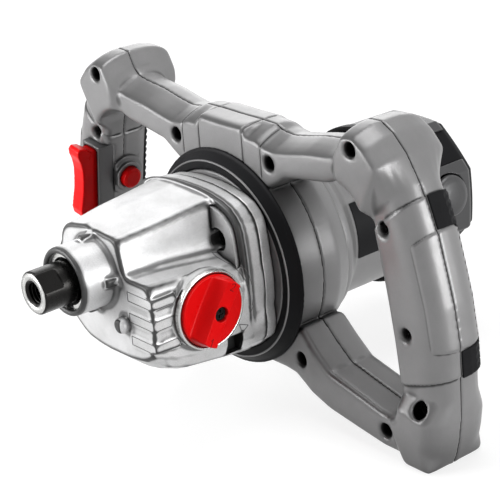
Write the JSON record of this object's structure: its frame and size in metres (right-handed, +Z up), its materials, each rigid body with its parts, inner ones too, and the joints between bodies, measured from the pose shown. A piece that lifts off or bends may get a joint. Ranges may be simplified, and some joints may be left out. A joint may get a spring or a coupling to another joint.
{
  "type": "two-handed mixing drill",
  "caption": "Two-handed paint and mortar mixer: frame with side grips round a motor, two-speed cast gearbox in front, threaded spindle for a paddle shaft.",
  "frame": {"origin": "centre of the spindle's front face", "axes": "the spindle points to -X, +Y is the side with the trigger, +Z is up when the machine lies on its feet"},
  "size_m": [0.29, 0.3292, 0.1815],
  "materials": {
    "cast_aluminium": "fine sand-cast texture, bead blasted",
    "machined_steel": "turned and ground",
    "blackened_steel": "darkened steel",
    "gear_steel": "ground flanks",
    "bearing_steel": "polished",
    "brass": "drawn brass",
    "bronze": "sintered bronze",
    "copper": "lacquered copper wire",
    "grey_plastic": "grey moulded nylon, fine satin grain",
    "dark_plastic": "dark moulded nylon",
    "black_plastic": "black moulded nylon",
    "black_rubber": "soft black rubber",
    "red_plastic": "glossy red",
    "core_steel": "stacked electrical steel sheet",
    "label_black": "smooth black film",
    "carbon": "pressed carbon"
  },
  "bodies": {
    "machine": {"gearbox_housing": "cast_aluminium", "gearbox_plate": "cast_aluminium", "gearbox_gasket": "black_rubber", "bearing_plate": "cast_aluminium", "housing_screws": "blackened_steel", "spindle_seal": "black_rubber", "spindle_circlip": "machined_steel", "spindle_front_bearing": "bearing_steel", "spindle_bearing_tube": "machined_steel", "spindle_rear_bearing": "bearing_steel", "layshaft_bearings": "bearing_steel", "first_shaft_bushes": "bronze", "fork_rod": "machined_steel", "selector_o_ring": "black_rubber", "detent_ball": "bearing_steel", "detent_spring": "machined_steel", "front_ring": "black_plastic", "motor_housing": "grey_plastic", "label_plate": "label_black", "stator_core": "core_steel", "field_windings": "copper", "fan_baffle": "black_plastic", "motor_bearings": "bearing_steel", "brush_holders": "brass", "carbon_brushes": "carbon", "brush_springs": "machined_steel", "brush_caps": "grey_plastic", "rear_cover": "black_plastic", "rear_panels": "grey_plastic", "frame_front_shell": "grey_plastic", "frame_rear_shell": "grey_plastic", "grip_insert_near": "black_rubber", "grip_insert_far": "black_rubber", "frame_screws": "blackened_steel", "trigger_guide": "dark_plastic", "trigger_spring": "machined_steel", "switch_body": "black_plastic", "lock_bezel": "dark_plastic", "lock_spring": "machined_steel"},
    "spindle": {"spindle": "blackened_steel", "spindle_low_gear": "gear_steel", "spindle_high_gear": "gear_steel"},
    "layshaft": {"layshaft": "gear_steel"},
    "cluster": {"sliding_cluster": "gear_steel"},
    "first_shaft": {"first_shaft": "gear_steel"},
    "armature": {"armature_shaft": "machined_steel", "armature_core": "core_steel", "armature_winding": "copper", "commutator": "copper", "fan": "black_plastic"},
    "fork": {"shift_fork": "bronze"},
    "knob": {"selector_knob": "red_plastic", "knob_screw": "blackened_steel", "selector_shaft": "machined_steel"},
    "trigger": {"trigger": "red_plastic"},
    "lock_button": {"lock_button": "red_plastic"}
  },
  "joints": [
    {"name": "spindle_spin", "type": "hinge", "parent": "machine", "child": "spindle", "pos_m": [0.05, 0, 0], "axis": [1, 0, 0], "continuous": true},
    {"name": "layshaft_spin", "type": "hinge", "parent": "machine", "child": "layshaft", "pos_m": [0.08, -0.014, -0.02425], "axis": [1, 0, 0], "continuous": true},
    {"name": "first_shaft_spin", "type": "hinge", "parent": "machine", "child": "first_shaft", "pos_m": [0.1, -0.00419, -0.04168], "axis": [1, 0, 0], "continuous": true},
    {"name": "armature_spin", "type": "hinge", "parent": "machine", "child": "armature", "pos_m": [0.2, 0, -0.0211], "axis": [1, 0, 0], "continuous": true},
    {"name": "knob_turn", "type": "hinge", "parent": "machine", "child": "knob", "pos_m": [0.075, -0.05, -0.02], "axis": [0, 1, 0], "range_deg": [0, 180]},
    {"name": "fork_slide", "type": "slide", "parent": "machine", "child": "fork", "axis": [1, 0, 0], "range_m": [-0.00901, 0]},
    {"name": "cluster_slide", "type": "slide", "parent": "layshaft", "child": "cluster", "axis": [1, 0, 0], "range_m": [-0.00901, 0]},
    {"name": "trigger_pull", "type": "slide", "parent": "machine", "child": "trigger", "axis": [1, 0, 0], "range_m": [0, 0.0055], "stiffness_N_per_m": 900, "springref_m": -0.002, "deforming": ["trigger_spring"]},
    {"name": "lock_press", "type": "slide", "parent": "machine", "child": "lock_button", "axis": [0, 0.9806, 0.1961], "range_m": [0, 0.003], "stiffness_N_per_m": 800, "springref_m": -0.001, "deforming": ["lock_spring"]}
  ],
  "couplings": [
    {"joint": "layshaft_spin", "follows": "spindle_spin", "ratio": -3},
    {"joint": "first_shaft_spin", "follows": "spindle_spin", "ratio": 9},
    {"joint": "armature_spin", "follows": "spindle_spin", "ratio": -45},
    {"joint": "fork_slide", "follows": "knob_turn", "m_per_rad": -0.0028648},
    {"joint": "cluster_slide", "follows": "knob_turn", "m_per_rad": -0.0028648}
  ]
}
